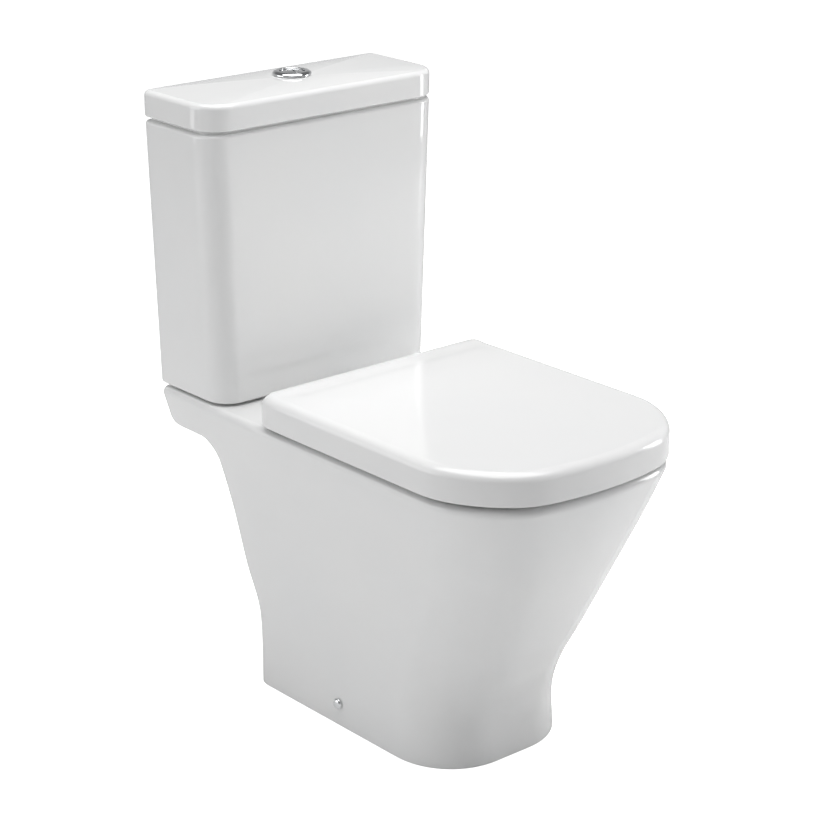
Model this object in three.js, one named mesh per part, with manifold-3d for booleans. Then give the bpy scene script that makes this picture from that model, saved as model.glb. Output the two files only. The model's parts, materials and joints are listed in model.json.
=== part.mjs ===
// A close coupled toilet: floor standing pan, cistern with a dual flush, and a soft-close seat and lid.
// Millimetres, +Z up, front towards -Y. The origin is on the floor, in the middle of the object's box.
import * as THREE from "three";
import { mergeVertices } from "three/addons/utils/BufferGeometryUtils.js";
import Module from "manifold-3d";

const wasm = await Module();
wasm.setup();

// ---- Driving dimensions ----

const DEPTH = 652; // wall face of the cistern to the front of the lid
const BACK = DEPTH / 2;
const FRONT = -DEPTH / 2;
const GAP = 0.3; // between pieces that touch

// Pan, in vitreous china. Each section has: height, half width, front at its corners, front bulge, corner radius.
const PAN_SECTIONS = [
  [0, 118.2, -175.2, 0, 88],
  [60, 120.4, -163.3, 8, 80],
  [115, 124.6, -179.3, 14, 89],
  [170, 130.6, -203.1, 18, 84],
  [260, 141.8, -242.9, 24, 82],
  [340, 162.8, -271.9, 30, 83],
  [400, 181, -289.8, 34, 84],
];
// Rear of the pedestal: height, distance behind the origin.
const PEDESTAL_BACK = [
  [0, 199.5],
  [60, 196.8],
  [115, 196.8],
  [170, 213],
  [260, 230],
  [312, 234],
];
const PEDESTAL_CORNER = 17;
const CHINA = 12; // wall thickness of the pan
const RIM_TOP = 400;
const RIM_EDGE = 12; // radius of the rim's outer edge
const DECK_BACK = BACK - 2;
const DECK_UNDERSIDE = 346.5;
const DECK_EDGE = 11; // radius of the deck's lower rear edge
const DECK_FILLET = 35; // radius between the pedestal's back and the deck
const CAVITY_TOP = 362; // ceiling of the hollow round the bowl
// Bowl: height, half width, front, back.
const BOWL = [
  [75, 26, -22, 38],
  [100, 38, -42, 50],
  [150, 50, -80, 56],
  [200, 80, -150, 58],
  [260, 110, -228, 60],
  [330, 128, -268, 54],
  [RIM_TOP + 1, 128, -272, 50],
];
const TRAP_OUTER = 51; // radius: a 102 mm outlet spigot
const TRAP_INNER = 40;
const OUTLET_HEIGHT = 180;
const OUTLET_END = BACK - 8;
const SUMP_HEIGHT = 114; // centre of the trap where it leaves the bowl
// Centre line of the trap from the bowl to the outlet: distance behind the origin, height.
const TRAP_BENDS = [
  [60, 106],
  [98, 124],
  [126, 172],
  [148, 216],
  [182, 235],
  [214, 216],
  [240, 188],
  [272, OUTLET_HEIGHT],
];

// Cistern.
const CISTERN_Y = 262; // centre line of the flush outlet
const TANK_BOTTOM = 403;
const TANK_TOP = 752;
const TANK_WALL = 10;
const TANK_BASE = { halfWidth: 174.5, depth: 140 };
const TANK_RIM = { halfWidth: 186.5, depth: 140 };
const TANK_CORNER = { front: 34, rear: 10 };
const LID_SEAT = 4.2; // height of the step that carries the cistern lid
const CISTERN_LID = { halfWidth: 187.3, depth: 143.2, corner: 40, bottom: 756.5, edge: 790, crown: 4.5 };
const BUTTON_Y = BACK - 66.5;
const HEIGHT = 800; // top of the button bezel

// Seat and lid.
const HINGE_Y = 95.5;
const HINGE_Z = 416;
const HINGE_X = 77.5; // half the spacing of the two fixing holes
const POST_RADIUS = 8.5;
const POST_HALF_WIDTH = 5;
const PIN_RADIUS = 4;
const PIN_BORE = 4.4;
const RING_LUG = [61, 72]; // distances from the middle, beside each post
const LID_LUG = [83, 93];
const LID_LUG_RADIUS = 9;
const SEAT_LID = { halfWidth: 181.6, corners: -289.5, bulge: FRONT + 289.5, radius: 92, back: 109 };
const LID_BOTTOM = 405;
const LID_SHOULDER = 436;
const LID_TOP = 445.5;
const LID_WALL = 5;
const LID_REAR_RADIUS = 15;
const LID_REAR_BOTTOM = 409.5; // its rear wall is shorter, so that it clears the deck as the lid swings up
const SEAT_BOTTOM = 409;
const SEAT_TOP = 430;
const SEAT_BACK = 82;
const PAD_RADIUS = 8;

const WASHER = [413.3, 416.3]; // heights of the washers on the cistern's floor
const LEFT = -1;
const RIGHT = 1;

// Side fixings of the pan to the floor.
const FIXING_Y = 26.5;
const FIXING_Z = 33;

const china = { color: 0xf2f2ef, roughness: 0.08, metalness: 0 };
const plastic = { color: 0xf4f4f2, roughness: 0.25, metalness: 0 };
const duroplast = { color: 0xf3f3f1, roughness: 0.15, metalness: 0 };
const chrome = { color: 0xd8dadd, roughness: 0.08, metalness: 1 };
const steel = { color: 0xb9bcc0, roughness: 0.35, metalness: 1 };
const brass = { color: 0xc9a24e, roughness: 0.35, metalness: 1 };
const rubber = { color: 0x2a2a2c, roughness: 0.85, metalness: 0 };
const greyRubber = { color: 0x9a9c9e, roughness: 0.8, metalness: 0 };
const accent = { color: 0x3b6ea8, roughness: 0.4, metalness: 0 };

// ---- Solids ----

// A closed three.js geometry as a manifold solid.
function solid(geometry) {
  const bare = geometry.clone();
  bare.deleteAttribute("normal");
  bare.deleteAttribute("uv");
  const merged = mergeVertices(bare, 1e-3);
  const mesh = new wasm.Mesh({
    numProp: 3,
    vertProperties: merged.attributes.position.array,
    triVerts: new Uint32Array(merged.index.array),
  });
  return new wasm.Manifold(mesh);
}

function geometryOf(body) {
  const mesh = body.getMesh();
  const geometry = new THREE.BufferGeometry();
  geometry.setAttribute("position", new THREE.BufferAttribute(mesh.vertProperties, 3));
  geometry.setIndex(new THREE.BufferAttribute(mesh.triVerts, 1));
  geometry.computeVertexNormals();
  return geometry;
}

// A span of X measured outwards from the middle, on the left or the right.
const outwards = (side, near, far) => (side === LEFT ? [-far, -near] : [near, far]);

const joined = (bodies) => bodies.reduce((whole, body) => whole.add(body));
const cut = (body, tools) => tools.reduce((rest, tool) => rest.subtract(tool), body);

function box(x, y, z) {
  const [[x0, x1], [y0, y1], [z0, z1]] = [x, y, z];
  const geometry = new THREE.BoxGeometry(x1 - x0, y1 - y0, z1 - z0);
  return solid(geometry.translate((x0 + x1) / 2, (y0 + y1) / 2, (z0 + z1) / 2));
}

// An upright cylinder at (x, y) from height z0 to z1.
function upright(radius, [z0, z1], x, y, sides = 20) {
  const geometry = new THREE.CylinderGeometry(radius, radius, z1 - z0, sides);
  return solid(geometry.rotateX(Math.PI / 2).translate(x, y, (z0 + z1) / 2));
}

// A cylinder along X, from x0 to x1, at (y, z).
function crosswise(radius, [x0, x1], y, z, sides = 16) {
  const geometry = new THREE.CylinderGeometry(radius, radius, x1 - x0, sides);
  return solid(geometry.rotateZ(Math.PI / 2).translate((x0 + x1) / 2, y, z));
}

// A body of revolution about Z, from a profile of [radius, height] that goes anticlockwise round the section.
function turned(profile, x, y, sides = 24) {
  const points = profile.map(([radius, height]) => new THREE.Vector2(radius, height));
  const geometry = new THREE.LatheGeometry(points, sides);
  return solid(geometry.rotateX(Math.PI / 2).translate(x, y, 0));
}

function ring(outer, inner, [z0, z1], x, y, sides = 16) {
  const profile = [[inner, z0], [outer, z0], [outer, z1], [inner, z1], [inner, z0]];
  return turned(profile, x, y, sides);
}

// A solid through a stack of outlines with the same number of points, each anticlockwise from above.
function loft(outlines, crown = 0) {
  const count = outlines[0].length;
  const points = outlines.flat();
  const index = [];
  for (let level = 0; level < outlines.length - 1; level++)
    for (let i = 0; i < count; i++) {
      const a = level * count + i;
      const b = level * count + ((i + 1) % count);
      index.push(a, b, b + count, a, b + count, a + count);
    }
  const caps = [
    { outline: outlines[0], start: 0, up: false, rise: 0 },
    { outline: outlines.at(-1), start: (outlines.length - 1) * count, up: true, rise: crown },
  ];
  for (const { outline, start, up, rise } of caps) {
    const centre = outline.reduce((sum, p) => sum.add(p), new THREE.Vector3()).divideScalar(count);
    centre.z += rise;
    const middle = points.push(centre) - 1;
    for (let i = 0; i < count; i++) {
      const edge = [start + i, start + ((i + 1) % count)];
      index.push(middle, ...(up ? edge : edge.reverse()));
    }
  }
  return solid(new THREE.BufferGeometry().setFromPoints(points).setIndex(index));
}

// A plan outline at height z: straight sides, round corners and a front that swells forward by bulge.
function plan({ halfWidth, corners, bulge = 0, radius, back, backRadius }, z, inset = 0, steps = 6) {
  const w = halfWidth - inset;
  const front = corners + inset;
  const rear = back - inset;
  const turns = [
    { r: Math.max(backRadius - inset, 1), y: rear, side: -1, from: 0.5, steps: 3 },
    { r: Math.max(radius - inset, 1), y: front, side: -1, from: 1, steps },
    { r: Math.max(radius - inset, 1), y: front, side: 1, from: 1.5, steps },
    { r: Math.max(backRadius - inset, 1), y: rear, side: 1, from: 0, steps: 3 },
  ];
  const frontRadius = turns[1].r;
  const points = [];
  const add = (x, y) => {
    const share = THREE.MathUtils.clamp((front + frontRadius - y) / frontRadius, 0, 1);
    points.push(new THREE.Vector3(x, y - bulge * (1 - (x / w) ** 2) * share, z));
  };
  turns.forEach(({ r, y, side, from, steps: arcSteps }, turn) => {
    const centreY = y + (y === front ? r : -r);
    for (let i = 0; i <= arcSteps; i++) {
      const angle = Math.PI * (from + (0.5 * i) / arcSteps);
      add(side * (w - r) + r * Math.cos(angle), centreY + r * Math.sin(angle));
    }
    if (turn === 1) for (let i = 1; i < steps; i++) add((w - r) * ((2 * i) / steps - 1), front);
  });
  return points;
}

// An oval outline at height z, between front and back, squarer as power grows.
function oval(halfWidth, front, back, z, power = 2.3, count = 24) {
  const bend = (value) => Math.sign(value) * Math.abs(value) ** (2 / power);
  return Array.from({ length: count }, (_, i) => {
    const angle = (2 * Math.PI * i) / count;
    const y = (front + back) / 2 + ((back - front) / 2) * bend(Math.sin(angle));
    return new THREE.Vector3(halfWidth * bend(Math.cos(angle)), y, z);
  });
}

// The value in one column of a table at height z, on a smooth curve through its rows.
function between(rows, column, z) {
  const last = rows.length - 1;
  const above = rows.findIndex((row) => row[0] > z);
  const i = Math.max(1, above < 0 ? last : above);
  const slope = (k) => {
    const [low, high] = [rows[Math.max(k - 1, 0)], rows[Math.min(k + 1, last)]];
    return (high[column] - low[column]) / (high[0] - low[0]);
  };
  const span = rows[i][0] - rows[i - 1][0];
  const t = (z - rows[i - 1][0]) / span;
  const rise = rows[i][column] - rows[i - 1][column];
  const ease = rise * (3 - 2 * t) * t * t;
  const bend = span * (slope(i - 1) * t * (1 - t) ** 2 - slope(i) * t * t * (1 - t));
  return rows[i - 1][column] + ease + bend;
}

// ---- Pan ----

function panOutline(z, back, inset = 0, backRadius = PEDESTAL_CORNER) {
  const [halfWidth, corners, bulge, radius] = [1, 2, 3, 4].map((column) => between(PAN_SECTIONS, column, z));
  return plan({ halfWidth, corners, bulge, radius, back, backRadius }, z, inset);
}

function panOutside() {
  const pedestal = [0, 30, 60, 90, 120, 150, 185, 225, 265, 311.5];
  const outlines = pedestal.map((z) => panOutline(z, between(PEDESTAL_BACK, 1, z)));
  const neck = PEDESTAL_BACK.at(-1)[1] + DECK_FILLET;
  for (const angle of [30, 60, 90].map(THREE.MathUtils.degToRad)) {
    const z = DECK_UNDERSIDE - DECK_FILLET * (1 - Math.sin(angle));
    outlines.push(panOutline(z, neck - DECK_FILLET * Math.cos(angle)));
  }
  for (const angle of [0, 30, 60, 90].map(THREE.MathUtils.degToRad)) {
    const z = DECK_UNDERSIDE + 0.5 + DECK_EDGE * (1 - Math.cos(angle));
    outlines.push(panOutline(z, DECK_BACK - DECK_EDGE * (1 - Math.sin(angle))));
  }
  for (const angle of [0, 30, 60, 90].map(THREE.MathUtils.degToRad)) {
    const z = RIM_TOP - RIM_EDGE * (1 - Math.sin(angle));
    outlines.push(panOutline(z, DECK_BACK, RIM_EDGE * (1 - Math.cos(angle))));
  }
  return loft(outlines);
}

// The hollow inside the pedestal, open below, with an opening at the back for the outlet.
function panHollow() {
  const outlines = [-1, 60, 120, 185, 265, 312, CAVITY_TOP].map((z) => {
    const height = Math.max(z, 0);
    const outline = panOutline(height, between(PEDESTAL_BACK, 1, Math.min(height, 312)), CHINA, PEDESTAL_CORNER);
    return outline.map((p) => p.setZ(z));
  });
  const { halfWidth, front, back, top } = DOORWAY;
  return loft(outlines).add(box([-halfWidth, halfWidth], [front, back], [-1, top]));
}

function bowl(wall) {
  const outlines = BOWL.map(([z, halfWidth, front, back], i) => {
    const height = Math.min(z, RIM_TOP + 1 - wall) - (i === 0 ? wall : 0);
    return oval(halfWidth + wall, front - wall, back + wall, height);
  });
  return loft(outlines);
}

function trap(radius, start, end) {
  const route = [[start, SUMP_HEIGHT], ...TRAP_BENDS, [end, OUTLET_HEIGHT]];
  const path = new THREE.CatmullRomCurve3(route.map(([y, z]) => new THREE.Vector3(0, y, z)));
  const section = new THREE.Shape().absarc(0, 0, radius, 0, 2 * Math.PI);
  return solid(new THREE.ExtrudeGeometry(section, { steps: 16, curveSegments: 8, extrudePath: path }));
}

// The flush runs from the recess under the cistern, through a flat chamber in the deck, into the back of the bowl.
const CHAMBER = { halfWidth: 50, front: 30, back: CISTERN_Y + 32, floor: 357, ceiling: 370 };
const RECESS = { radius: 53, floor: 378, inlet: 31.5 };
const DOORWAY = { halfWidth: 72, front: 150, back: 245, top: 300 }; // in the pedestal's back, round the outlet
const HINGE_HOLE = 7;
const TANK_BOLT = { x: 80, y: 288, radius: 3.9, hole: 6 };
const INLET = { x: 125, y: 265, hole: 23 };

function pan() {
  const { halfWidth, front, back, floor, ceiling } = CHAMBER;
  const around = halfWidth + CHINA;
  const chamberWalls = box([-around, around], [front + 10, CISTERN_Y - RECESS.radius], [floor - 10, CAVITY_TOP + 1]);
  const hollow = cut(panHollow(), [bowl(CHINA), chamberWalls]);
  const body = panOutside().subtract(hollow).add(trap(TRAP_OUTER, 30, OUTLET_END));
  const holes = [
    bowl(0),
    trap(TRAP_INNER, 10, OUTLET_END + 1),
    box([-halfWidth, halfWidth], [front, back], [floor, ceiling]),
    upright(RECESS.radius, [RECESS.floor, RIM_TOP + 1], 0, CISTERN_Y, 28),
    upright(RECESS.inlet, [floor + 1, RECESS.floor + 1], 0, CISTERN_Y, 24),
    upright(INLET.hole, [DECK_UNDERSIDE - 5, RIM_TOP + 1], INLET.x, INLET.y),
  ];
  for (const side of [LEFT, RIGHT]) {
    holes.push(upright(HINGE_HOLE, [CAVITY_TOP - 5, RIM_TOP + 1], side * HINGE_X, HINGE_Y, 16));
    holes.push(upright(TANK_BOLT.hole, [DECK_UNDERSIDE - 5, RIM_TOP + 1], side * TANK_BOLT.x, TANK_BOLT.y, 16));
    holes.push(crosswise(4.5, outwards(side, 98, 130), FIXING_Y, FIXING_Z, 12));
  }
  return cut(body, holes);
}

// ---- Cistern ----

function tankOutline(z, inset) {
  const share = (z - TANK_BOTTOM) / (TANK_TOP - TANK_BOTTOM);
  const halfWidth = THREE.MathUtils.lerp(TANK_BASE.halfWidth, TANK_RIM.halfWidth, share);
  const depth = THREE.MathUtils.lerp(TANK_BASE.depth, TANK_RIM.depth, share);
  const corners = BACK - depth;
  return plan({ halfWidth, corners, radius: TANK_CORNER.front, back: BACK, backRadius: TANK_CORNER.rear }, z, inset, 6);
}

// Outlines whose back stays on the wall face, however far the other sides are drawn in.
const againstWall = (outline, inset) =>
  outline.map((p) => (p.y > BACK - inset - 0.01 ? p.setY(BACK) : p));

function cisternTank() {
  const outside = loft([
    againstWall(tankOutline(TANK_BOTTOM, 5), 5),
    againstWall(tankOutline(TANK_BOTTOM + 1.5, 1.5), 1.5),
    tankOutline(TANK_BOTTOM + 5, 0),
    tankOutline(TANK_TOP, 0),
  ]);
  const stepTop = tankOutline(TANK_TOP, 4).map((p) => p.setZ(TANK_TOP + LID_SEAT));
  const step = loft([tankOutline(TANK_TOP - 1, 4), stepTop]);
  const inside = loft([tankOutline(TANK_BOTTOM + TANK_WALL, TANK_WALL), tankOutline(TANK_TOP + 9, TANK_WALL)]);
  const through = [TANK_BOTTOM - 1, TANK_BOTTOM + TANK_WALL + 1];
  return cut(outside.add(step), [
    inside,
    upright(31, through, 0, CISTERN_Y, 24),
    upright(12, through, INLET.x, INLET.y, 16),
    upright(5, through, -TANK_BOLT.x, TANK_BOLT.y, 12),
    upright(5, through, TANK_BOLT.x, TANK_BOLT.y, 12),
  ]);
}

function cisternLid() {
  const { halfWidth, depth, corner, bottom, edge, crown } = CISTERN_LID;
  const shape = { halfWidth, corners: BACK - depth, radius: corner, back: BACK, backRadius: TANK_CORNER.rear };
  const levels = [
    [bottom, 2],
    [bottom + 2.5, 0],
    [edge - 6, 0],
    [edge - 1.5, 2],
    [edge + 0.5, 6],
    [edge + 3, 40],
  ];
  const shell = loft(levels.map(([z, inset]) => plan(shape, z, inset)), crown - 3);
  const lip = loft([plan(shape, bottom - 8, 16), plan(shape, bottom + 4, 16)]);
  const under = loft([plan(shape, bottom - 9, 21), plan(shape, edge - 8, 21)]);
  return cut(shell.add(lip), [under, upright(20, [bottom, HEIGHT], 0, BUTTON_Y, 24)]);
}

// ---- Dual flush button ----

const BEZEL = { outer: 25, inner: 16.2, neck: 18.8, seat: 795, foot: 770 };

function bezel() {
  const { outer, inner, neck, seat, foot } = BEZEL;
  return turned([
    [inner, foot], [neck, foot], [neck, seat], [outer, seat], [outer, seat + 1.2], [outer - 1.6, seat + 3.6],
    [outer - 5, HEIGHT], [inner + 1.4, HEIGHT - 0.3], [inner, HEIGHT - 1.4], [inner, foot],
  ], 0, BUTTON_Y, 32);
}

// The button is parted by an S-shaped line, moved by offset so that the full flush part is the larger one.
const BUTTON = { offset: 2.5, swing: 3, gap: 0.35, foot: 784, top: 798.2 };

// One part of the round button, to one side of its parting line.
function buttonPart(side) {
  const { offset, swing, gap, foot, top } = BUTTON;
  const radius = BEZEL.inner - 0.6;
  const steps = 10;
  const line = Array.from({ length: steps + 1 }, (_, i) => {
    const t = (2 * i) / steps - 1;
    const y = t * Math.sqrt(radius ** 2 - offset ** 2);
    return new THREE.Vector2(offset + swing * Math.sin(Math.PI * t) + side * gap, y);
  });
  const start = Math.atan2(line.at(-1).y, line.at(-1).x);
  const sweep = side > 0 ? -2 * start : 2 * (Math.PI - start);
  const arc = Array.from({ length: 14 }, (_, i) => {
    const angle = start + (sweep * (i + 1)) / 15;
    return new THREE.Vector2(radius * Math.cos(angle), radius * Math.sin(angle));
  });
  const shape = new THREE.Shape([...line, ...arc]);
  const geometry = new THREE.ExtrudeGeometry(shape, { depth: top - foot, bevelEnabled: false });
  return solid(geometry.translate(0, BUTTON_Y, foot));
}

const ROD = { radius: 2.5, foot: 614, top: BUTTON.foot - GAP };
const ROD_X = { full: -7, half: 10 };
const rod = (x) => upright(ROD.radius, [ROD.foot, ROD.top], x, BUTTON_Y, 10);

function buttonGuide() {
  const { foot, neck } = BEZEL;
  const holes = Object.values(ROD_X).map((x) => upright(3.4, [foot - 6, foot], x, BUTTON_Y, 12));
  return cut(upright(neck, [foot - 4, foot - GAP], 0, BUTTON_Y, 24), holes);
}

// ---- Flush valve ----

const VALVE = { seat: 422, flange: 416.6, shell: 33, bore: 29.5, cap: 604, top: 620, foot: 366 };

function flushValveHousing() {
  const { seat, flange, shell, bore, cap, top, foot } = VALVE;
  const body = turned([
    [25, foot], [29.5, foot], [29.5, flange], [40, flange], [40, flange + 4], [shell, flange + 7],
    [shell, top], [0, top], [0, cap], [bore, cap], [bore, seat], [25, seat], [25, foot],
  ], 0, CISTERN_Y, 24);
  const windows = [0, 90].map((turn) => {
    const slot = new THREE.BoxGeometry(26, 90, 36).rotateZ(THREE.MathUtils.degToRad(turn));
    return solid(slot.translate(0, CISTERN_Y, 443));
  });
  const sockets = Object.values(ROD_X).map((x) => upright(4, [cap - 2, top + 1], x, BUTTON_Y, 12));
  return cut(body, [...windows, ...sockets]);
}

function overflowTube() {
  const { seat } = VALVE;
  return turned([
    [14, seat + 4], [28, seat + 4], [28, seat + 8], [16, seat + 12], [16, 575], [14, 575], [14, seat + 4],
  ], 0, CISTERN_Y, 20);
}

const nut = (outer, bore, heights, x, y) =>
  upright(outer, heights, x, y, 6).subtract(upright(bore, [heights[0] - 1, heights[1] + 1], x, y, 16));

function wingNut(top, x, y) {
  const hub = ring(9, 4.3, [top - 12, top], x, y, 16);
  const wings = box([x - 1.5, x + 1.5], [y - 20, y + 20], [top - 18, top - 4]);
  const middle = upright(8, [top - 19, top + 1], x, y, 12);
  return hub.add(wings.subtract(middle));
}

// ---- Fill valve ----

const FILL = { head: 640, pivotX: 98, pivotZ: 664, tipX: 72, floatFoot: 560, floatTop: 606 };

function fillValveBody() {
  const { x, y } = INLET;
  const column = turned([
    [6, 335], [10.4, 335], [10.4, 416.6], [18, 416.6], [18, 421], [12, 424], [12, FILL.head],
    [20, FILL.head + 4], [20, 672], [14, 682], [0, 682], [0, FILL.head], [6, FILL.head], [6, 335],
  ], x, y, 20);
  const cheeks = [y - 9, y + 6].map((edge) =>
    box([FILL.pivotX - 5, x - 12], [edge, edge + 3], [FILL.pivotZ - 8, FILL.pivotZ + 6]),
  );
  const hole = new THREE.CylinderGeometry(2.4, 2.4, 30, 12).translate(FILL.pivotX, y, FILL.pivotZ);
  return joined([column, ...cheeks]).subtract(solid(hole));
}

function fillValveFloat() {
  const { x, y } = INLET;
  const cup = ring(29, 13, [FILL.floatFoot, FILL.floatTop], x, y, 24);
  const ear = box([FILL.tipX - 5, x - 20], [y - 5, y + 5], [FILL.floatTop - 6, FILL.floatTop]);
  const bore = upright(13, [FILL.floatFoot - 1, FILL.floatTop + 1], x, y, 24);
  return cup.add(ear).subtract(bore);
}

function fillValveLever() {
  const { y } = INLET;
  const { pivotX, pivotZ, tipX } = FILL;
  const along = (radius, length) =>
    solid(new THREE.CylinderGeometry(radius, radius, length, 14).translate(pivotX, y, pivotZ));
  const arm = box([tipX - 5, pivotX], [y - 4, y + 4], [pivotZ - 2, pivotZ + 2]);
  return cut(along(5, 10).add(arm), [along(2.4, 12)]);
}

// ---- Seat and lid ----

function seatLid() {
  const { halfWidth, corners, bulge, radius, back } = SEAT_LID;
  const outline = (z, inset, rear) =>
    plan({ halfWidth, corners, bulge: -bulge, radius, back: rear + inset, backRadius: 18 }, z, inset, 8);
  const rearAt = (z) => back - LID_REAR_RADIUS + Math.sqrt(LID_REAR_RADIUS ** 2 - Math.max(0, z - 430) ** 2);
  const levels = [[LID_BOTTOM, 0], [LID_SHOULDER, 0], [441.5, 2.5], [444.5, 7], [LID_TOP, 14]];
  const outside = loft(levels.map(([z, inset]) => outline(z, inset, z > 430 ? rearAt(Math.min(z, 445)) : back)), 1);
  const inside = loft([
    outline(LID_BOTTOM - 1, LID_WALL, back - LID_WALL),
    outline(LID_SHOULDER, LID_WALL, back - LID_WALL - 2),
    outline(LID_TOP - LID_WALL, LID_WALL + 6, back - LID_WALL - 12),
  ]);
  const lugs = [];
  const notches = [];
  for (const side of [LEFT, RIGHT]) {
    const span = outwards(side, ...LID_LUG);
    const rise = [HINGE_Z, LID_TOP - LID_WALL + 0.5];
    const web = box(span, [HINGE_Y - LID_LUG_RADIUS, HINGE_Y + LID_LUG_RADIUS], rise);
    lugs.push(web.add(crosswise(LID_LUG_RADIUS, span, HINGE_Y, HINGE_Z, 20)));
    const beside = outwards(side, RING_LUG[0] - 3, LID_LUG[0] - 0.1);
    notches.push(box(beside, [HINGE_Y + 2, back + 5], [LID_BOTTOM - 5, 432]));
    notches.push(crosswise(PIN_BORE, outwards(side, LID_LUG[0] - 1, LID_LUG[1] + 1), HINGE_Y, HINGE_Z, 14));
  }
  notches.push(box([-halfWidth, halfWidth], [HINGE_Y + 2, back + 5], [LID_BOTTOM - 5, LID_REAR_BOTTOM]));
  return cut(joined([outside.subtract(inside), ...lugs]), notches);
}

function seatRing() {
  const inLid = LID_WALL + 3.5; // how far the ring stands inside the lid's outline
  const shape = {
    halfWidth: SEAT_LID.halfWidth - inLid,
    corners: SEAT_LID.corners + inLid,
    bulge: -SEAT_LID.bulge,
    radius: SEAT_LID.radius - inLid,
    back: SEAT_BACK,
    backRadius: 30,
  };
  const levels = [
    [SEAT_BOTTOM, 3],
    [SEAT_BOTTOM + 4, 0],
    [SEAT_TOP - 6, 0],
    [SEAT_TOP - 2, 3],
    [SEAT_TOP, 10],
  ];
  const outside = loft(levels.map(([z, inset]) => plan(shape, z, inset, 6)));
  const opening = loft([
    oval(112, -252, 26, SEAT_BOTTOM - 1, 2.4),
    oval(108, -248, 22, SEAT_TOP - 8, 2.4),
    oval(114, -255, 28, SEAT_TOP + 1, 2.4),
  ]);
  const lugs = [];
  const holes = [];
  for (const side of [LEFT, RIGHT]) {
    const span = outwards(side, ...RING_LUG);
    lugs.push(crosswise(POST_RADIUS, span, HINGE_Y, HINGE_Z, 20));
    lugs.push(box(span, [SEAT_BACK - 8, HINGE_Y], [HINGE_Z - 6, HINGE_Z + 8]));
    holes.push(crosswise(PIN_BORE, outwards(side, RING_LUG[0] - 1, RING_LUG[1] + 1), HINGE_Y, HINGE_Z, 14));
  }
  return cut(joined([outside.subtract(opening), ...lugs]), holes);
}

const pad = (x, y, [z0, z1]) => upright(PAD_RADIUS, [z0 + GAP, z1 - GAP], x, y, 14);

// Its foot is cut off flush on the outer side, where the lid's rear edge swings past.
function hingePost(side) {
  const x = side * HINGE_X;
  const foot = { radius: 14, top: RIM_TOP + 4.5 };
  const disc = upright(foot.radius, [RIM_TOP + GAP, foot.top], x, HINGE_Y, 20);
  const swing = outwards(side, HINGE_X + POST_HALF_WIDTH, HINGE_X + foot.radius + 1);
  const clearance = box(swing, [HINGE_Y - 20, HINGE_Y + 20], [RIM_TOP, foot.top + 1]);
  const width = [x - POST_HALF_WIDTH, x + POST_HALF_WIDTH];
  const column = box(width, [HINGE_Y - POST_RADIUS, HINGE_Y + POST_RADIUS], [RIM_TOP + 4, HINGE_Z]);
  const head = crosswise(POST_RADIUS, width, HINGE_Y, HINGE_Z, 20);
  const pinBore = crosswise(PIN_BORE, [width[0] - 1, width[1] + 1], HINGE_Y, HINGE_Z, 14);
  const studBore = upright(4.3, [RIM_TOP, 408], x, HINGE_Y, 12);
  return cut(joined([disc.subtract(clearance), column, head]), [pinBore, studBore]);
}

// ---- Side fixings ----

const WALL_AT_FIXING = between(PAN_SECTIONS, 1, FIXING_Z);

function floorBracket(side) {
  const outer = WALL_AT_FIXING - CHINA - 2;
  const thick = 5;
  const length = [FIXING_Y - 18, FIXING_Y + 18];
  const wall = box(outwards(side, outer - thick, outer), length, [0, 52]);
  const foot = box(outwards(side, outer - 46, outer), length, [0, thick]);
  const screwHole = crosswise(3.5, outwards(side, outer - 2 * thick, outer + 1), FIXING_Y, FIXING_Z, 12);
  const floorHole = upright(4.5, [-1, thick + 1], side * (outer - 26), FIXING_Y, 14);
  return cut(wall.add(foot), [screwHole, floorHole]);
}

function sideScrew(side) {
  const face = WALL_AT_FIXING + 0.8;
  const shank = crosswise(3, outwards(side, face - 32, face), FIXING_Y, FIXING_Z, 12);
  return shank.add(crosswise(5.4, outwards(side, face, face + 2.2), FIXING_Y, FIXING_Z, 16));
}

function screwCap(side) {
  const dome = [[7.3, 0], [7.3, 1.4], [6.2, 3.2], [3.5, 4.5], [0, 4.9]];
  const profile = [[6, 0], ...dome, [0, 3.7], [6, 2.9], [6, 0]];
  const points = profile.map(([radius, height]) => new THREE.Vector2(radius, height));
  const geometry = new THREE.LatheGeometry(points, 20).rotateZ((-side * Math.PI) / 2);
  return solid(geometry.translate(side * (WALL_AT_FIXING + 0.8), FIXING_Y, FIXING_Z));
}

// ---- Assembly ----

const toilet = new THREE.Group();

function place(name, body, finish) {
  const mesh = new THREE.Mesh(geometryOf(body), new THREE.MeshStandardMaterial(finish));
  mesh.name = name;
  toilet.add(mesh);
}

place("pan", pan(), china);
place("cistern_tank", cisternTank(), china);
place("cistern_lid", cisternLid(), china);

place("button_bezel", bezel(), chrome);
place("button_bezel_nut", ring(27, BEZEL.neck + 0.4, [773, 781.5], 0, BUTTON_Y, 24), plastic);
place("button_guide", buttonGuide(), plastic);
place("full_flush_button", buttonPart(-1), chrome);
place("half_flush_button", buttonPart(1), chrome);
place("full_flush_rod", rod(ROD_X.full), plastic);
place("half_flush_rod", rod(ROD_X.half), plastic);

place("flush_valve_housing", flushValveHousing(), plastic);
place("flush_valve_washer", ring(39, 30.5, WASHER, 0, CISTERN_Y, 24), rubber);
place("flush_valve_backnut", nut(40, 31, [385, TANK_BOTTOM - GAP], 0, CISTERN_Y), plastic);
place("overflow_tube", overflowTube(), accent);
place("flush_seal", ring(27.5, 14.3, [VALVE.seat + GAP, VALVE.seat + 3.7], 0, CISTERN_Y, 24), rubber);
place("cistern_gasket", ring(51.5, 42, [RECESS.floor + GAP, TANK_BOTTOM - GAP], 0, CISTERN_Y, 28), rubber);

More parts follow.
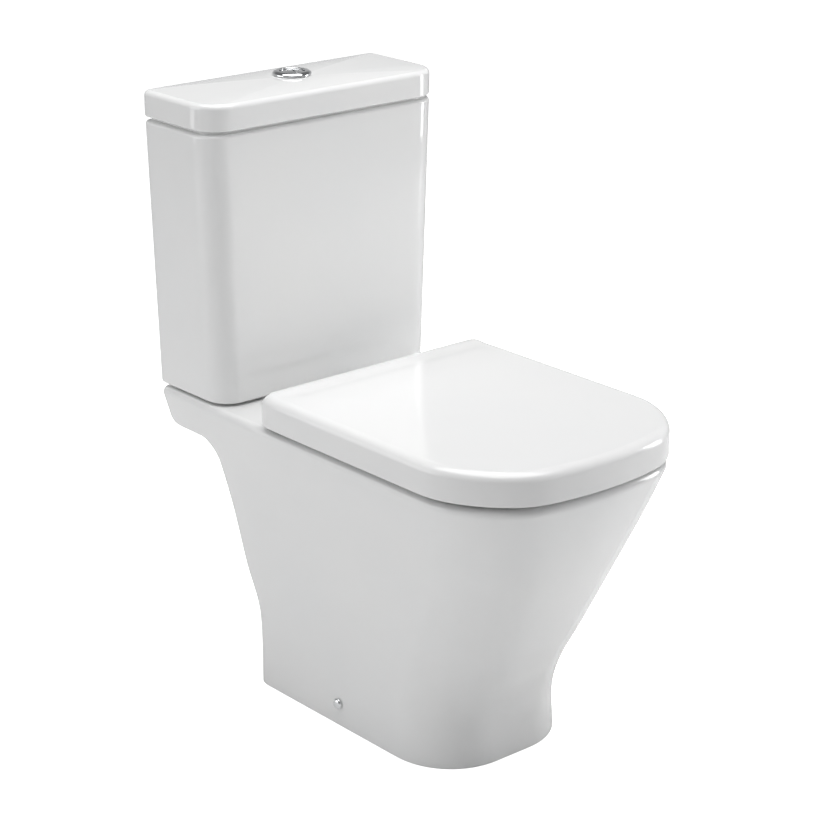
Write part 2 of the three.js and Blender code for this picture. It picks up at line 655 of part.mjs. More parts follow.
place("fill_valve_body", fillValveBody(), plastic);
place("fill_valve_washer", ring(17, 12.4, WASHER, INLET.x, INLET.y), rubber);
place("fill_valve_nut", nut(17, 10.8, [390, TANK_BOTTOM - GAP], INLET.x, INLET.y), brass);
place("fill_valve_float", fillValveFloat(), accent);
place("float_link", upright(1.6, [FILL.floatTop + GAP, FILL.pivotZ - 3.2], FILL.tipX, INLET.y, 8), steel);
place("fill_valve_lever", fillValveLever(), plastic);
const leverPin = new THREE.CylinderGeometry(2, 2, 18, 10).translate(FILL.pivotX, INLET.y, FILL.pivotZ);
place("lever_pin", solid(leverPin), steel);

place("seat_ring", seatRing(), duroplast);
place("seat_lid", seatLid(), duroplast);

for (const [side, word] of [[LEFT, "left"], [RIGHT, "right"]]) {
  place("seat_buffer_front_" + word, pad(side * 128, -240, [RIM_TOP, SEAT_BOTTOM]), greyRubber);
  place("seat_buffer_rear_" + word, pad(side * 150, 10, [RIM_TOP, SEAT_BOTTOM]), greyRubber);
  place("lid_buffer_" + word, pad(side * 138, -170, [SEAT_TOP, LID_TOP - LID_WALL]), greyRubber);

  const hingeX = side * HINGE_X;
  const pinSpan = outwards(side, RING_LUG[0] + 0.5, LID_LUG[1]);
  place("hinge_post_" + word, hingePost(side), chrome);
  place("hinge_pin_" + word, crosswise(PIN_RADIUS, pinSpan, HINGE_Y, HINGE_Z, 16), steel);
  place("hinge_stud_" + word, upright(3.9, [338, 407.5], hingeX, HINGE_Y, 12), steel);
  place("hinge_washer_" + word, ring(14, 4.4, [CAVITY_TOP - 3.3, CAVITY_TOP - GAP], hingeX, HINGE_Y), rubber);
  place("hinge_wing_nut_" + word, wingNut(CAVITY_TOP - 3.6, hingeX, HINGE_Y), plastic);

  const { y, radius } = TANK_BOLT;
  const boltX = side * TANK_BOLT.x;
  const bolt = upright(radius, [316, 417], boltX, y, 12).add(upright(9, [416.6, 421], boltX, y, 20));
  place("cistern_bolt_" + word, bolt, brass);
  place("bolt_seal_" + word, ring(12, 4.4, WASHER, boltX, y), rubber);
  place("bolt_washer_" + word, ring(13, 4.4, [DECK_UNDERSIDE - 2.4, DECK_UNDERSIDE - 0.4], boltX, y), steel);
  place("bolt_wing_nut_" + word, wingNut(DECK_UNDERSIDE - 2.8, boltX, y), brass);

  place("floor_bracket_" + word, floorBracket(side), plastic);
  place("side_screw_" + word, sideScrew(side), steel);
  place("side_screw_cap_" + word, screwCap(side), chrome);
}

export default toilet;
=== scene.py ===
"""The looks of a close coupled toilet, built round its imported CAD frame.

The frame is in metres, +Z up, front towards -Y. Sizes below are in millimetres, and piece() turns
them into metres.
"""

import json
import math

import bpy
import numpy as np
from mathutils import Matrix, Vector


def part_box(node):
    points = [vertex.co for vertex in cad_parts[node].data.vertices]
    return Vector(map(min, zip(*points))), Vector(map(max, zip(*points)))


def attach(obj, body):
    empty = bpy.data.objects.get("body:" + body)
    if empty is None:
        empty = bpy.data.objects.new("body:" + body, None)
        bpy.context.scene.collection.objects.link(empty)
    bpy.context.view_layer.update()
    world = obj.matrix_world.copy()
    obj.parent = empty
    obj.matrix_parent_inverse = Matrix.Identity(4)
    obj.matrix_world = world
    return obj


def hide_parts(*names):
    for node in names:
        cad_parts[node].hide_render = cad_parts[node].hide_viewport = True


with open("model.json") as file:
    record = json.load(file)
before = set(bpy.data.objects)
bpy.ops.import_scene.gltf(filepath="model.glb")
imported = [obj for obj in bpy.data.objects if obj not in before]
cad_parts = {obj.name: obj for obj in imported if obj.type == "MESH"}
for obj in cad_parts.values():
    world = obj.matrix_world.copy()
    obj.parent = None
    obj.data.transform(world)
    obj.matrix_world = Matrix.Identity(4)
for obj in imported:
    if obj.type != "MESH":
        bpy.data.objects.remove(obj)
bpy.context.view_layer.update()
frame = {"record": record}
MM = 0.001

# ---- Driving dimensions, as in the CAD model ----

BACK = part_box("cistern_tank")[1].y / MM
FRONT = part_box("seat_lid")[0].y / MM
PAN_SECTIONS = [  # height, half width, front at its corners, front bulge, corner radius
    (0, 118.2, -175.2, 0, 88),
    (60, 120.4, -163.3, 8, 80),
    (115, 124.6, -179.3, 14, 89),
    (170, 130.6, -203.1, 18, 84),
    (260, 141.8, -242.9, 24, 82),
    (340, 162.8, -271.9, 30, 83),
    (400, 181, -289.8, 34, 84),
]
PEDESTAL_BACK = [  # height, distance behind the origin
    (0, 199.5),
    (60, 196.8),
    (115, 196.8),
    (170, 213),
    (260, 230),
    (312, 234),
]
PEDESTAL_TOP = PEDESTAL_BACK[-1][0]
PEDESTAL_CORNER = 17
PAN_SPLIT = 130  # behind this the pan's outline follows its back
CHINA = 12
RIM_TOP = 400
RIM_EDGE = 12
DECK_BACK = BACK - 2
DECK_UNDERSIDE = 346.5
DECK_EDGE = 11
DECK_FILLET = 35
CAVITY_TOP = 362
BOWL = [  # height, half width, front, back, of the china below the rim
    (75, 26, -22, 38),
    (100, 38, -42, 50),
    (150, 50, -80, 56),
    (200, 80, -150, 58),
    (260, 110, -228, 60),
    (330, 130, -270, 55),
    (352, 132, -274, 54),
]
TRAP_ROUTE = [  # distance behind the origin, height
    (10, 114),
    (60, 106),
    (98, 124),
    (126, 172),
    (148, 216),
    (182, 235),
    (214, 216),
    (240, 188),
    (272, 180),
]
TRAP_OUTER = 51
TRAP_INNER = 40
OUTLET_END = BACK - 8
CISTERN_Y = 262
OBJECT_TOP = 800
TANK_BOTTOM = 403
TANK_TOP = 752
TANK_WALL = 10
TANK_STEP = 9
TANK_BASE = (174.5, 140)  # half width, depth
TANK_RIM = (186.5, 140)
TANK_CORNER = 34
TANK_REAR_CORNER = 10
LID_SEAT = 4.2
CISTERN_LID_HALF = 187.3
CISTERN_LID_DEPTH = 143.2
CISTERN_LID_CORNER = 40
CISTERN_LID_BOTTOM = 756.5
CISTERN_LID_EDGE = 790.3
BUTTON_Y = BACK - 66.5
BEZEL_INNER = 16.2
BEZEL_NECK = 18.8
BUTTON_FOOT = 784
BUTTON_TOP = 798.2
PARTING_OFFSET = 2.5
PARTING_SWING = 3
PARTING_GAP = 0.35
ROD_X = (-7, 10)
INLET_X = 125
INLET_Y = 265
BOLT_X = 80
BOLT_Y = 288
WASHER = (413.3, 416.3)
WASHER_BORE = 4.4
PIVOT_X = 98
PIVOT_Z = 664
TIP_X = 72
HINGE_Y = 95.5
HINGE_Z = 416
HINGE_X = 77.5
PIN_BORE = 4.4
RING_LUG = (61, 72)
LID_LUG = (83, 93)
SEAT_LID_HALF = 181.6
SEAT_LID_FRONT = -289.5
SEAT_LID_RADIUS = 92
SEAT_LID_BULGE = SEAT_LID_FRONT - FRONT
SEAT_LID_BACK = 109
SEAT_LID_REAR_CORNER = 18
LID_BACK_ROUND = 15
LID_BACK_ROUND_FROM = 430
LID_BOTTOM = 405
LID_REAR_BOTTOM = 409.5
LID_TOP = 445.5
LID_WALL = 5
HINGE_HUMP = 1.3
SEAT_BOTTOM = 409
SEAT_TOP = 430
SEAT_BACK = 82
SEAT_REAR_CORNER = 30
FIXING_Y = 26.5
FIXING_Z = 33
SIDES = (-1, 1)
CREASE = 32.0  # degrees; sharper edges stay sharp

# Studio lights: name, degrees round from the front towards -X, degrees up, distance and size in metres, watts
LIGHTS = [
    ("overhead", 0, 89.9, 2.4, (2.4, 2.4), 63),
    ("right_low", -70, 12, 2.8, (1.3, 1.3), 2.2),
    ("left_low", 110, 12, 2.8, (1.3, 1.3), 7.8),
    ("front_strip", -62, 8, 2.6, (0.7, 1.4), 19),
    ("left_strip", 130, 8, 2.6, (0.7, 1.4), 4.5),
]
SURROUND = (0.42, 0.15)  # brightness of the room near the floor and overhead
FLOOR_GLOW = 0.9  # added to the floor for the camera only
LIGHTS_MEET = (0, 0, 0.4)

# Viewpoint: place in metres, angles in degrees, lens in mm
CAMERA_PLACE = (-1.8409, -2.0998, 1.4171)
CAMERA_AZIMUTH = -40.964
CAMERA_ELEVATION = 19.881
CAMERA_ROLL = -0.275
CAMERA_LENS = 103.39


# ---- Mesh tools ----


def piece(name, points, faces):
    """A mesh object from points in millimetres."""
    mesh = bpy.data.meshes.new(name)
    mesh.from_pydata((np.asarray(points, float) * MM).tolist(), [], [tuple(map(int, f)) for f in faces])
    mesh.validate()
    obj = bpy.data.objects.new(name, mesh)
    bpy.context.scene.collection.objects.link(obj)
    return obj


def skin(name, rings, loop=False):
    """A closed mesh through rings of equal length, each anticlockwise round the way they advance."""
    count = len(rings[0])
    points = np.vstack(rings)
    faces = []
    last = len(rings) if loop else len(rings) - 1
    for level in range(last):
        low = level * count
        high = (level + 1) % len(rings) * count
        for i in range(count):
            j = (i + 1) % count
            faces.append((low + i, low + j, high + j, high + i))
    if not loop:
        points = np.vstack([points, rings[0].mean(0), rings[-1].mean(0)])
        top = (len(rings) - 1) * count
        for i in range(count):
            j = (i + 1) % count
            faces.append((len(points) - 2, j, i))
            faces.append((len(points) - 1, top + i, top + j))
    return piece(name, points, faces)


def inward(ring, shares, rise=0.0):
    """Copies of a ring drawn in towards its middle, raised in a shallow dome."""
    middle = ring.mean(0)
    drawn = []
    for share in shares:
        copy = middle + (ring - middle) * share
        copy[:, 2] = ring[:, 2] + rise * (1 - share**2)
        drawn.append(copy)
    return drawn


def turned(name, profile, x=0.0, y=0.0, sides=64):
    """A body turned about an upright axis, from an anticlockwise closed profile of (radius, height)."""
    angles = np.linspace(0, 2 * math.pi, sides, endpoint=False)
    rings = []
    for radius, height in profile:
        across, along = x + radius * np.cos(angles), y + radius * np.sin(angles)
        rings.append(np.column_stack([across, along, np.full(sides, height)]))
    return skin(name, rings, loop=True)


def pillar(name, radius, heights, x, y, sides=48, bevel=0.0):
    """An upright cylinder, its ends rounded by bevel."""
    low, high = heights
    angles = np.linspace(0, 2 * math.pi, sides, endpoint=False)
    circle = np.column_stack([np.cos(angles), np.sin(angles)])
    steps = [(radius, low), (radius, high)]
    if bevel:
        turns = np.linspace(0, math.pi / 2, 5)
        steps = [(radius - bevel * (1 - math.sin(t)), low + bevel * (1 - math.cos(t))) for t in turns]
        steps += [(radius - bevel * (1 - math.cos(t)), high - bevel * (1 - math.sin(t))) for t in turns]
    rings = [np.column_stack([circle * r + (x, y), np.full(sides, z)]) for r, z in steps]
    return skin(name, rings)


def turn(obj, angle, axis, centre=(0, 0, 0)):
    """Turns a mesh about an axis through centre, in millimetres, and keeps its object at the origin."""
    to = Matrix.Translation(Vector(centre) * MM)
    obj.data.transform(to @ Matrix.Rotation(math.radians(angle), 4, axis) @ to.inverted())
    return obj


def crosswise(name, radius, span, y, z, sides=48, bevel=0.0):
    """A cylinder along X from span[0] to span[1]."""
    middle = (span[0] + span[1]) / 2
    half = (span[1] - span[0]) / 2
    obj = pillar(name, radius, (z - half, z + half), middle, y, sides, bevel)
    return turn(obj, 90, "Y", (middle, y, z))


def block(name, x, y, z, bevel=0.0, segments=3):
    """A box between pairs of bounds, with its edges rounded by bevel."""
    points = [(a, b, c) for c in z for b in y for a in x]
    faces = [(0, 2, 3, 1), (4, 5, 7, 6), (0, 1, 5, 4), (2, 6, 7, 3), (0, 4, 6, 2), (1, 3, 7, 5)]
    obj = piece(name, points, faces)
    if bevel:
        modifier = obj.modifiers.new("bevel", "BEVEL")
        modifier.width = bevel * MM
        modifier.segments = segments
        modifier.limit_method = "NONE"
        settle(obj)
    return obj


def on_side(side, near, far):
    """The span between two distances from the middle, on one side of it, lowest first."""
    return sorted((side * near, side * far))


def settle(obj):
    """Applies the object's modifiers to its mesh."""
    bpy.context.view_layer.update()
    evaluated = obj.evaluated_get(bpy.context.evaluated_depsgraph_get())
    mesh = bpy.data.meshes.new_from_object(evaluated)
    obj.modifiers.clear()
    obj.data = mesh


def combine(obj, others, operation):
    """Joins others to obj, or cuts them from it, and removes them."""
    for other in others:
        modifier = obj.modifiers.new("combine", "BOOLEAN")
        modifier.operation = operation
        modifier.solver = "MANIFOLD"
        modifier.object = other
        settle(obj)
        bpy.data.objects.remove(other)
    return obj


def join(obj, *others):
    return combine(obj, others, "UNION")


def cut(obj, *others):
    return combine(obj, others, "DIFFERENCE")


def smooth(obj):
    """Smooth shading, with creases kept, and flat faces kept flat."""
    obj.data.polygons.foreach_set("use_smooth", [True] * len(obj.data.polygons))
    obj.data.set_sharp_from_angle(angle=math.radians(CREASE))
    weights = obj.modifiers.new("weights", "WEIGHTED_NORMAL")
    weights.keep_sharp = True
    weights.weight = 90


def between(rows, column, z):
    """The value in one column of a table at height z, on a smooth curve through its rows."""
    last = len(rows) - 1
    i = next((k for k, row in enumerate(rows) if row[0] > z), last)
    i = max(1, i)

    def slope(k):
        low, high = rows[max(k - 1, 0)], rows[min(k + 1, last)]
        return (high[column] - low[column]) / (high[0] - low[0])

    span = rows[i][0] - rows[i - 1][0]
    t = (z - rows[i - 1][0]) / span
    rise = rows[i][column] - rows[i - 1][column]
    bend = span * (slope(i - 1) * t * (1 - t) ** 2 - slope(i) * t * t * (1 - t))
    return rows[i - 1][column] + rise * (3 - 2 * t) * t * t + bend


def quarter(start, stop, steps):
    """Angles from start to stop, in radians, given in degrees."""
    return np.radians(np.linspace(start, stop, steps))


def plan(half_width, corners, bulge, radius, back, back_radius, z, inset=0.0, split=None, soften=3):
    """A plan outline at height z, anticlockwise from above, from the middle of the back.

    It has straight sides, round corners and a front that swells forward by bulge. Its points keep
    their places along the side in front of split, so outlines of different length still match."""
    w, front, rear = half_width - inset, corners + inset, back - inset
    rf, rb = max(radius - inset, 1.5), max(back_radius - inset, 1.5)
    split = (front + rf + rear - rb) / 2 if split is None else split
    left = [(-x, rear) for x in np.linspace(0, w - rb, 10, endpoint=False)]
    left += [(-(w - rb) + rb * math.cos(a), rear - rb + rb * math.sin(a)) for a in quarter(90, 180, 9)]
    left += [(-w, y) for y in np.linspace(rear - rb, split, 8, endpoint=False)[1:]]
    left += [(-w, y) for y in np.linspace(split, front + rf, 24, endpoint=False)]
    left += [(-(w - rf) + rf * math.cos(a), front + rf + rf * math.sin(a)) for a in quarter(180, 270, 25)]
    left += [(-x, front) for x in np.linspace(w - rf, 0, 13)[1:]]
    left = np.array(left)
    share = np.clip((front + rf - left[:, 1]) / rf, 0, 1)
    left[:, 1] -= bulge * (1 - (left[:, 0] / w) ** 2) * share
    right = left[-2:0:-1] * (-1, 1)
    ring = np.vstack([left, right])
    for _ in range(soften):
        ring = 0.5 * ring + 0.25 * (np.roll(ring, 1, 0) + np.roll(ring, -1, 0))
    return np.column_stack([ring, np.full(len(ring), z)])


def oval(half_width, front, back, z, power=2.3, count=176):
    """An oval outline at height z, squarer as power grows, anticlockwise from the middle of the back."""
    angle = np.linspace(0, 2 * math.pi, count, endpoint=False) + math.pi / 2
    cosine, sine = np.cos(angle), np.sin(angle)
    x = np.sign(cosine) * np.abs(cosine) ** (2 / power)
    y = np.sign(sine) * np.abs(sine) ** (2 / power)
    middle, half = (front + back) / 2, (back - front) / 2
    return np.column_stack([half_width * x, middle + half * y, np.full(count, z)])


FIXING_WALL = between(PAN_SECTIONS, 1, FIXING_Z)


# ---- Pan ----


def pan_ring(z, back, inset=0.0):
    half_width, corners, bulge, radius = (between(PAN_SECTIONS, column, z) for column in (1, 2, 3, 4))
    return plan(half_width, corners, bulge, radius, back, PEDESTAL_CORNER, z, inset, split=PAN_SPLIT)


def pan_outside():
    rings = []
    foot_edge = 3
    for a in quarter(0, 90, 5)[:-1]:
        z = foot_edge * (1 - math.cos(a))
        rings.append(pan_ring(z, between(PEDESTAL_BACK, 1, z), foot_edge * (1 - math.sin(a))))
    for z in np.linspace(foot_edge, PEDESTAL_TOP - 0.5, 54):
        rings.append(pan_ring(z, between(PEDESTAL_BACK, 1, z)))
    neck = PEDESTAL_BACK[-1][1] + DECK_FILLET
    for a in quarter(0, 90, 12)[1:]:
        z = DECK_UNDERSIDE - DECK_FILLET * (1 - math.sin(a))
        rings.append(pan_ring(z, neck - DECK_FILLET * math.cos(a)))
    deck_low = DECK_UNDERSIDE + 0.5
    for a in quarter(0, 90, 10):
        z = deck_low + DECK_EDGE * (1 - math.cos(a))
        rings.append(pan_ring(z, DECK_BACK - DECK_EDGE * (1 - math.sin(a))))
    for z in np.linspace(deck_low + DECK_EDGE, RIM_TOP - RIM_EDGE, 5)[1:-1]:
        rings.append(pan_ring(z, DECK_BACK))
    for a in quarter(0, 90, 9):
        z = RIM_TOP - RIM_EDGE * (1 - math.sin(a))
        rings.append(pan_ring(z, DECK_BACK, RIM_EDGE * (1 - math.cos(a))))
    return skin("pan_body", rings)


def pan_hollow():
    rings = []
    for z in np.linspace(-1, CAVITY_TOP, 30):
        height = max(z, 0)
        ring = pan_ring(height, between(PEDESTAL_BACK, 1, min(height, PEDESTAL_TOP)), CHINA)
        ring[:, 2] = z
        rings.append(ring)
    doorway = block("doorway", (-72, 72), (150, 245), (-40, 300), bevel=22, segments=8)
    return join(skin("hollow", rings), doorway)


def bowl_outside():
    rows = [(BOWL[0][0] - CHINA, *BOWL[0][1:])] + list(BOWL) + [(RIM_TOP - CHINA, *BOWL[-1][1:])]
    heights = np.linspace(rows[0][0], rows[-1][0], 40)
    rings = []
    for z in heights:
        half_width, front, back = (between(rows, column, z) for column in (1, 2, 3))
        rings.append(oval(half_width + CHINA, front - CHINA, back + CHINA, z))
    return skin("bowl_outside", rings)


def bowl_inside():
    """The water side of the bowl, with a box rim that overhangs it."""
    rings = inward(oval(*BOWL[0][1:], BOWL[0][0]), (0.15, 0.5, 0.8), -9)
    for z in np.linspace(BOWL[0][0], BOWL[-1][0], 48):
        rings.append(oval(*(between(BOWL, column, z) for column in (1, 2, 3)), z))
    lip, mouth, edge = 5, (116, -258, 46), 9
    half_width, front, back = mouth
    under = 360
    rings.append(oval(half_width + lip + 8, front - lip - 8, back + lip + 5, under + 1))
    for a in quarter(-90, 0, 6):
        draw = lip * (1 - math.cos(a))
        rings.append(oval(half_width + draw, front - draw, back + draw, under + lip + lip * math.sin(a)))
    for a in quarter(0, 90, 7):
        draw = edge * (1 - math.cos(a))
        rings.append(oval(half_width + draw, front - draw, back + draw, RIM_TOP - edge * (1 - math.sin(a))))
    rings.append(oval(half_width + edge, front - edge, back + edge, RIM_TOP + 3))
    return skin("bowl_inside", rings)


def route_points(route, steps):
    """Points on a smooth curve through a route of (y, z)."""
    route = np.array(route, float)
    ends = np.vstack([2 * route[0] - route[1], route, 2 * route[-1] - route[-2]])
    points = []
    for p0, p1, p2, p3 in zip(ends, ends[1:], ends[2:], ends[3:]):
        for t in np.linspace(0, 1, steps, endpoint=False):
            spread = (p2 - p0) * t
            spread = spread + (2 * p0 - 5 * p1 + 4 * p2 - p3) * t**2
            spread = spread + (3 * p1 - p0 - 3 * p2 + p3) * t**3
            points.append(p1 + 0.5 * spread)
    return np.array(points + [route[-1]])


def trap(name, radius, start, end):
    route = [(start, TRAP_ROUTE[0][1])] + TRAP_ROUTE[1:] + [(end, TRAP_ROUTE[-1][1])]
    line = route_points(route, 6)
    along = np.gradient(line, axis=0)
    along /= np.linalg.norm(along, axis=1)[:, None]
    angles = np.linspace(0, 2 * math.pi, 48, endpoint=False)
    rings = []
    for (y, z), (dy, dz) in zip(line, along):
        side = radius * np.cos(angles)
        lift = radius * np.sin(angles)
        rings.append(np.column_stack([-side, y - dz * lift, z + dy * lift]))
    return skin(name, rings)


def pan():
    walls = block("walls", (-62, 62), (40, 210), (347, CAVITY_TOP + 1))
    hollow = cut(pan_hollow(), bowl_outside(), walls)
    body = join(cut(pan_outside(), hollow), trap("trap_outside", TRAP_OUTER, 30, OUTLET_END))
    holes = [
        bowl_inside(),
        trap("trap_inside", TRAP_INNER, 10, OUTLET_END + 1),
        block("chamber", (-50, 50), (30, CISTERN_Y + 32), (357, 370), bevel=4),
        pillar("recess", 53, (378, RIM_TOP + 1), 0, CISTERN_Y, 96),
        pillar("inlet", 31.5, (358, 379), 0, CISTERN_Y, 64),
        pillar("hose_hole", 23, (DECK_UNDERSIDE - 5, RIM_TOP + 1), INLET_X, INLET_Y, 64),
    ]
    for side in SIDES:
        holes.append(pillar("hinge_hole", 7, (CAVITY_TOP - 5, RIM_TOP + 1), side * HINGE_X, HINGE_Y))
        holes.append(pillar("bolt_hole", 6, (DECK_UNDERSIDE - 5, RIM_TOP + 1), side * BOLT_X, BOLT_Y))
        holes.append(crosswise("screw_hole", 4.5, on_side(side, 98, 130), FIXING_Y, FIXING_Z))
    return cut(body, *holes)


# ---- Cistern ----


def against_wall(ring, inset):
    """Puts the back of a ring on the wall face, however far its other sides are drawn in."""
    ring[ring[:, 1] > BACK - inset - 0.01, 1] = BACK
    return ring


def tank_ring(z, inset=0.0):
    share = (z - TANK_BOTTOM) / (TANK_TOP - TANK_BOTTOM)
    half_width, depth = (a + (b - a) * share for a, b in zip(TANK_BASE, TANK_RIM))
    return plan(half_width, BACK - depth, 0, TANK_CORNER, BACK, TANK_REAR_CORNER, z, inset, soften=4)


def tank():
    edge, lip = 4, 5
    rings = []
    for a in quarter(0, 90, 8):
        inset = edge * (1 - math.sin(a))
        rings.append(against_wall(tank_ring(TANK_BOTTOM + edge * (1 - math.cos(a)), inset), inset))
    rings += [tank_ring(z) for z in np.linspace(TANK_BOTTOM + edge, TANK_TOP - lip, 26)[1:]]
    for a in quarter(0, 80, 8):
        inset = lip * (1 - math.cos(a))
        rings.append(against_wall(tank_ring(TANK_TOP - lip * (1 - math.sin(a)), inset), inset))
    for rise in (0, LID_SEAT):
        rings.append(tank_ring(TANK_TOP, TANK_STEP) + (0, 0, rise))
    floor = (TANK_BOTTOM - 2, TANK_BOTTOM + TANK_WALL + 5)
    inside = [tank_ring(z, TANK_WALL) for z in np.linspace(TANK_BOTTOM + TANK_WALL, TANK_TOP + 9, 12)]
    holes = [skin("tank_inside", inside)]
    holes.append(pillar("valve_hole", 31, floor, 0, CISTERN_Y, 64))
    holes.append(pillar("fill_hole", 12, floor, INLET_X, INLET_Y))
    holes += [pillar("bolt_hole", 5, floor, side * BOLT_X, BOLT_Y) for side in SIDES]
    return cut(skin("tank_body", rings), *holes)


def cistern_lid_ring(z, inset=0.0):
    front = BACK - CISTERN_LID_DEPTH
    return plan(CISTERN_LID_HALF, front, 0, CISTERN_LID_CORNER, BACK, TANK_REAR_CORNER, z, inset, soften=4)


def cistern_lid():
    bottom, edge_top, low_edge, edge, crown = CISTERN_LID_BOTTOM, CISTERN_LID_EDGE, 2.5, 7, 4.2
    rings = []
    for a in quarter(0, 90, 5):
        inset = low_edge * (1 - math.sin(a))
        rings.append(against_wall(cistern_lid_ring(bottom + low_edge * (1 - math.cos(a)), inset), inset))
    rings += [cistern_lid_ring(z) for z in np.linspace(bottom + low_edge, edge_top - edge, 6)[1:-1]]
    for a in quarter(0, 90, 10):
        rings.append(cistern_lid_ring(edge_top - edge * (1 - math.sin(a)), edge * (1 - math.cos(a))))
    rings += inward(rings[-1], np.linspace(1, 0.04, 24)[1:], crown)
    lip = skin("lip", [cistern_lid_ring(z, 16) for z in (bottom - 8, bottom - 4, bottom, bottom + 4)])
    levels = (bottom - 9, bottom, edge_top - 20, edge_top - 8)
    under = skin("under", [cistern_lid_ring(z, 21) for z in levels])
    hole = pillar("button_hole", 20, (bottom - 10, OBJECT_TOP), 0, BUTTON_Y, 96)
    return cut(join(skin("lid_body", rings), lip), under, hole)


# ---- Button ----


def prism(name, outline, levels, crown=0.0, spread=1.0, centre=(0, 0)):
    """A solid over a plan outline, through (height, inset) levels, with a shallow dome about centre."""
    outline = np.asarray(outline, float)
    along = np.roll(outline, -1, 0) - np.roll(outline, 1, 0)
    along /= np.linalg.norm(along, axis=1)[:, None]
    normals = np.column_stack([along[:, 1], -along[:, 0]])
    rings = []
    for z, inset in levels:
        flat = outline - normals * inset
        rings.append(np.column_stack([flat, np.full(len(flat), z)]))
    top = rings[-1]
    middle = top.mean(0)
    for share in np.linspace(1, 0.05, 9)[1:]:
        rings.append(middle + (top - middle) * share)
    if crown:
        for ring in rings[len(levels) - 1 :]:
            away = np.hypot(ring[:, 0] - centre[0], ring[:, 1] - centre[1])
            ring[:, 2] += crown * (1 - (away / spread) ** 2)
    return skin(name, rings)


def button_part(name, side):
    """One part of the round button, to one side of its S-shaped parting line."""
    radius = BEZEL_INNER - 0.6
    t = np.linspace(-1, 1, 25)
    line_y = t * math.sqrt(radius**2 - PARTING_OFFSET**2)
    line_x = PARTING_OFFSET + PARTING_SWING * np.sin(math.pi * t) + side * PARTING_GAP
    start = math.atan2(line_y[-1], line_x[-1])
    sweep = -2 * start if side > 0 else 2 * (math.pi - start)
    arc = [start + sweep * share for share in np.linspace(0, 1, 42)[1:-1]]
    outline = list(zip(line_x, line_y)) + [(radius * math.cos(a), radius * math.sin(a)) for a in arc]
    if side > 0:
        outline.reverse()
    outline = [(x, y + BUTTON_Y) for x, y in outline]
    edge = 0.7
    levels = [(BUTTON_FOOT, 0), (BUTTON_TOP - edge, 0)]
    levels += [(BUTTON_TOP - edge * (1 - math.sin(a)), edge * (1 - math.cos(a))) for a in quarter(30, 90, 4)]
    return prism(name, outline, levels, 1.1, radius, (0, BUTTON_Y))


def bezel():
    """A low chrome dome round the button, on a threaded neck."""
    foot, seat, outer = 770, 795, 25
    profile = [(BEZEL_INNER, foot), (BEZEL_NECK, foot), (BEZEL_NECK, seat)]
    profile += [(outer - 0.6, seat), (outer, seat + 0.5)]
    rise = OBJECT_TOP - seat - 1.1
    profile += [(outer - 6.2 * (1 - math.cos(a)), seat + 1.1 + rise * math.sin(a)) for a in quarter(0, 90, 9)]
    inner_edge = 1.0
    profile += [
        (BEZEL_INNER + inner_edge * (1 - math.sin(a)), OBJECT_TOP - inner_edge * (1 - math.cos(a)))
        for a in quarter(0, 90, 5)
    ]
    return turned("bezel", profile, 0, BUTTON_Y, 96)


def rod(name, x):
    return pillar(name, 2.5, (614, BUTTON_FOOT - 0.3), x, BUTTON_Y, 32, bevel=0.5)


def button_guide():
    holes = [pillar("rod_hole", 3.4, (760, 775), x, BUTTON_Y, 32) for x in ROD_X]
    return cut(pillar("guide", BEZEL_NECK, (766, 769.7), 0, BUTTON_Y, 64, bevel=0.5), *holes)


# ---- Flush valve and fill valve ----


def tube(name, outer, inner, heights, x, y, sides=64, bevel=0.4):
    low, high = heights
    b = bevel
    profile = [(inner, low + b), (inner + b, low), (outer - b, low), (outer, low + b)]
    profile += [(outer, high - b), (outer - b, high), (inner + b, high), (inner, high - b)]
    return turned(name, profile, x, y, sides)


def nut(name, outer, bore, heights, x, y):
    """A hexagon nut."""
    hole = pillar("bore", bore, (heights[0] - 1, heights[1] + 1), x, y, 48)
    return cut(pillar(name, outer, heights, x, y, 6, bevel=0.8), hole)


def wing_nut(name, top, x, y):
    hub = tube(name, 9, 4.3, (top - 12, top), x, y, bevel=1)
    wings = []
    for side in SIDES:
        reach = sorted((y + side * 7.5, y + side * 20))
        wings.append(block("wing", (x - 1.5, x + 1.5), reach, (top - 18, top - 4), bevel=1.4))
    return join(hub, *wings)


def flush_valve_housing():
    seat, flange, shell, bore, cap, top, foot = 422, 416.6, 33, 29.5, 604, 620, 366
    profile = [(25, foot), (29.5, foot), (29.5, flange), (39.5, flange), (40, flange + 0.5), (40, flange + 4)]
    profile += [(shell + 1, flange + 6.6), (shell, flange + 8), (shell, top - 2), (shell - 2, top)]
    core = [(4, top), (4, cap), (bore, cap), (bore, seat), (25, seat)]
    body = turned("valve_shell", profile + core, 0, CISTERN_Y, 72)
    plug = pillar("valve_top", 4.5, (cap, top), 0, CISTERN_Y, 32)
    slots = []
    for angle in (0, 90):
        slot = block("slot", (-13, 13), (CISTERN_Y - 45, CISTERN_Y + 45), (425, 461), bevel=3)
        slots.append(turn(slot, angle, "Z", (0, CISTERN_Y, 0)))
    sockets = [pillar("socket", 4, (cap - 2, top + 1), x, BUTTON_Y, 32) for x in ROD_X]
    return cut(join(body, plug), *slots, *sockets)


def overflow_tube():
    low = 426
    profile = [(14, low), (28, low), (28, low + 4), (18, low + 7), (16, low + 10)]
    profile += [(16, 574.5), (15.5, 575), (14, 575)]
    return turned("overflow", profile, 0, CISTERN_Y)


